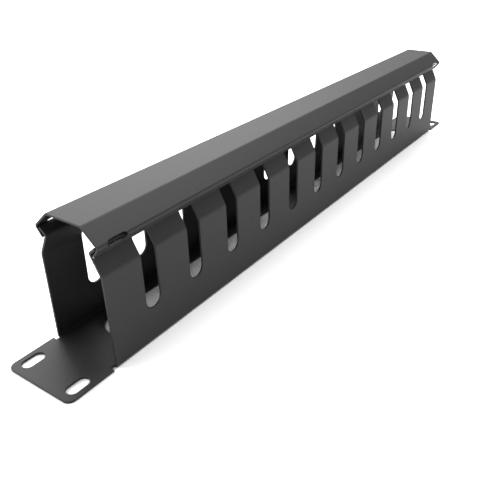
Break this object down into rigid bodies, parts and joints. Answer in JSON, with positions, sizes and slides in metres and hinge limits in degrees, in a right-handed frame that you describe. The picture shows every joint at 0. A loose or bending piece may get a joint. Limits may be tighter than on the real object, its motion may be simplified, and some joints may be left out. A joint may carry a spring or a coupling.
{
  "type": "horizontal cable manager",
  "caption": "Rack cable manager: a folded steel trough with comb walls, rack ears and long base windows, closed by a folded cover that clips over the combs.",
  "frame": {"origin": "middle of the back face of the base, the face that meets the rack", "axes": "+X along the rack width, +Y across the trough, +Z from the back face towards the cover"},
  "size_m": [0.4826, 0.044, 0.0738],
  "materials": {
    "black_powder_coat": "satin black powder coat with a very fine texture"
  },
  "bodies": {
    "tray": {"slotted_tray": "black_powder_coat"},
    "cover": {"snap_cover": "black_powder_coat"}
  },
  "joints": [
    {"name": "cover_slide", "type": "slide", "parent": "tray", "child": "cover", "axis": [1, 0, 0], "range_m": [-0.403, 0.399]}
  ]
}
